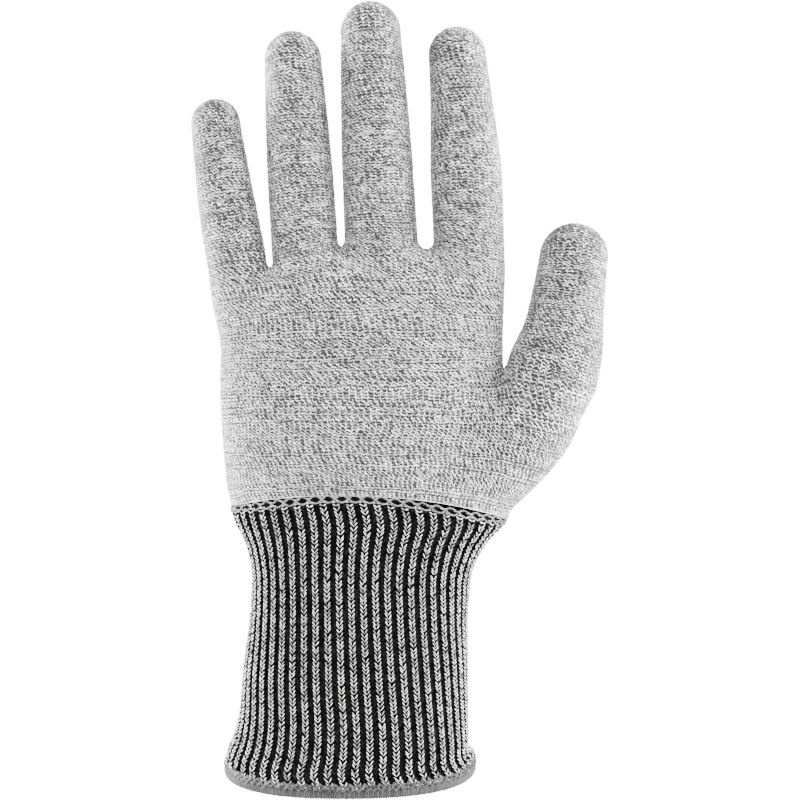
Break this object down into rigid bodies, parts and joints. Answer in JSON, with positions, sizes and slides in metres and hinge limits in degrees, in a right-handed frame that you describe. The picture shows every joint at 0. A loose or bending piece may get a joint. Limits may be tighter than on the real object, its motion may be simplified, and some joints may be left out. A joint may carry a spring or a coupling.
{
  "type": "cut resistant glove",
  "caption": "Seamless knit work glove with closed finger stalls, a thumb, a long ribbed elastic cuff and an overlocked hem, standing open as if worn.",
  "frame": {"origin": "middle of the cuff's mouth, on the plane that the hem rests on", "axes": "+Z from the cuff's mouth to the fingertips, -Y out of the palm side, +X towards the thumb"},
  "size_m": [0.1382, 0.0668, 0.2558],
  "materials": {
    "heather_knit": "light grey plain knit of cut resistant yarn, flecked with black",
    "rib_knit": "rib knit, raised grey ribs on a black elastic ground",
    "elastic_thread": "covered elastic thread, matt black",
    "linking_thread": "one course of black and grey crossed thread",
    "overlock_thread": "mid-grey overlock thread, wrapped closely round the edge",
    "knot_yarn": "knotted end of the knit's own yarn"
  },
  "bodies": {
    "cuff": {"hem_overlock": "overlock_thread", "cuff_sleeve": "rib_knit", "cuff_elastic": "elastic_thread"},
    "palm": {"cuff_top": "rib_knit", "linking_band": "linking_thread", "lower_palm": "heather_knit", "upper_palm": "heather_knit", "thumb_root": "heather_knit"},
    "knuckles": {"knuckle_band": "heather_knit", "little_root": "heather_knit", "ring_root": "heather_knit", "middle_root": "heather_knit", "index_root": "heather_knit"},
    "little_middle": {"little_middle": "heather_knit"},
    "little_tip": {"little_tip": "heather_knit", "little_tip_knot": "knot_yarn"},
    "ring_middle": {"ring_middle": "heather_knit"},
    "ring_tip": {"ring_tip": "heather_knit", "ring_tip_knot": "knot_yarn"},
    "middle_middle": {"middle_middle": "heather_knit"},
    "middle_tip": {"middle_tip": "heather_knit", "middle_tip_knot": "knot_yarn"},
    "index_middle": {"index_middle": "heather_knit"},
    "index_tip": {"index_tip": "heather_knit", "index_tip_knot": "knot_yarn"},
    "thumb_middle": {"thumb_middle": "heather_knit"},
    "thumb_tip": {"thumb_tip": "heather_knit", "thumb_tip_knot": "knot_yarn"}
  },
  "joints": [
    {"name": "wrist_bend", "type": "hinge", "parent": "cuff", "child": "palm", "pos_m": [0.0046, 0, 0.067], "axis": [1, 0, 0], "range_deg": [-45, 45], "stiffness_Nm_per_rad": 0.3},
    {"name": "knuckle_bend", "type": "hinge", "parent": "palm", "child": "knuckles", "pos_m": [0.0023, -0.003, 0.153], "axis": [1, 0, 0], "range_deg": [0, 75], "stiffness_Nm_per_rad": 0.08},
    {"name": "little_middle_bend", "type": "hinge", "parent": "knuckles", "child": "little_middle", "pos_m": [-0.03981, -0.0025, 0.18483], "axis": [0.9895, 0, 0.1444], "range_deg": [0, 90], "stiffness_Nm_per_rad": 0.012},
    {"name": "little_tip_bend", "type": "hinge", "parent": "little_middle", "child": "little_tip", "pos_m": [-0.04255, -0.0025, 0.20363], "axis": [0.9895, 0, 0.1444], "range_deg": [0, 55], "stiffness_Nm_per_rad": 0.004},
    {"name": "ring_middle_bend", "type": "hinge", "parent": "knuckles", "child": "ring_middle", "pos_m": [-0.01634, -0.0025, 0.19904], "axis": [0.9981, 0, 0.061], "range_deg": [0, 90], "stiffness_Nm_per_rad": 0.012},
    {"name": "ring_tip_bend", "type": "hinge", "parent": "ring_middle", "child": "ring_tip", "pos_m": [-0.01774, -0.0025, 0.222], "axis": [0.9981, 0, 0.061], "range_deg": [0, 55], "stiffness_Nm_per_rad": 0.004},
    {"name": "middle_middle_bend", "type": "hinge", "parent": "knuckles", "child": "middle_middle", "pos_m": [0.0093, -0.0025, 0.20586], "axis": [0.9988, 0, 0.0489], "range_deg": [0, 90], "stiffness_Nm_per_rad": 0.012},
    {"name": "middle_tip_bend", "type": "hinge", "parent": "middle_middle", "child": "middle_tip", "pos_m": [0.00808, -0.0025, 0.23083], "axis": [0.9988, 0, 0.0489], "range_deg": [0, 55], "stiffness_Nm_per_rad": 0.004},
    {"name": "index_middle_bend", "type": "hinge", "parent": "knuckles", "child": "index_middle", "pos_m": [0.03828, -0.0025, 0.20044], "axis": [0.9981, 0, 0.061], "range_deg": [0, 90], "stiffness_Nm_per_rad": 0.012},
    {"name": "index_tip_bend", "type": "hinge", "parent": "index_middle", "child": "index_tip", "pos_m": [0.03687, -0.0025, 0.2234], "axis": [0.9981, 0, 0.061], "range_deg": [0, 55], "stiffness_Nm_per_rad": 0.004},
    {"name": "thumb_root_bend", "type": "hinge", "parent": "palm", "child": "thumb_middle", "pos_m": [0.07001, -0.00396, 0.13897], "axis": [0.9755, -0.1736, -0.1354], "range_deg": [0, 35], "stiffness_Nm_per_rad": 0.012},
    {"name": "thumb_tip_bend", "type": "hinge", "parent": "thumb_middle", "child": "thumb_tip", "pos_m": [0.07234, -0.00396, 0.15581], "axis": [0.9755, -0.1736, -0.1354], "range_deg": [0, 60], "stiffness_Nm_per_rad": 0.004}
  ],
  "couplings": [
    {"joint": "little_tip_bend", "follows": "little_middle_bend", "ratio": 0.6},
    {"joint": "ring_tip_bend", "follows": "ring_middle_bend", "ratio": 0.6},
    {"joint": "middle_tip_bend", "follows": "middle_middle_bend", "ratio": 0.6},
    {"joint": "index_tip_bend", "follows": "index_middle_bend", "ratio": 0.6}
  ]
}
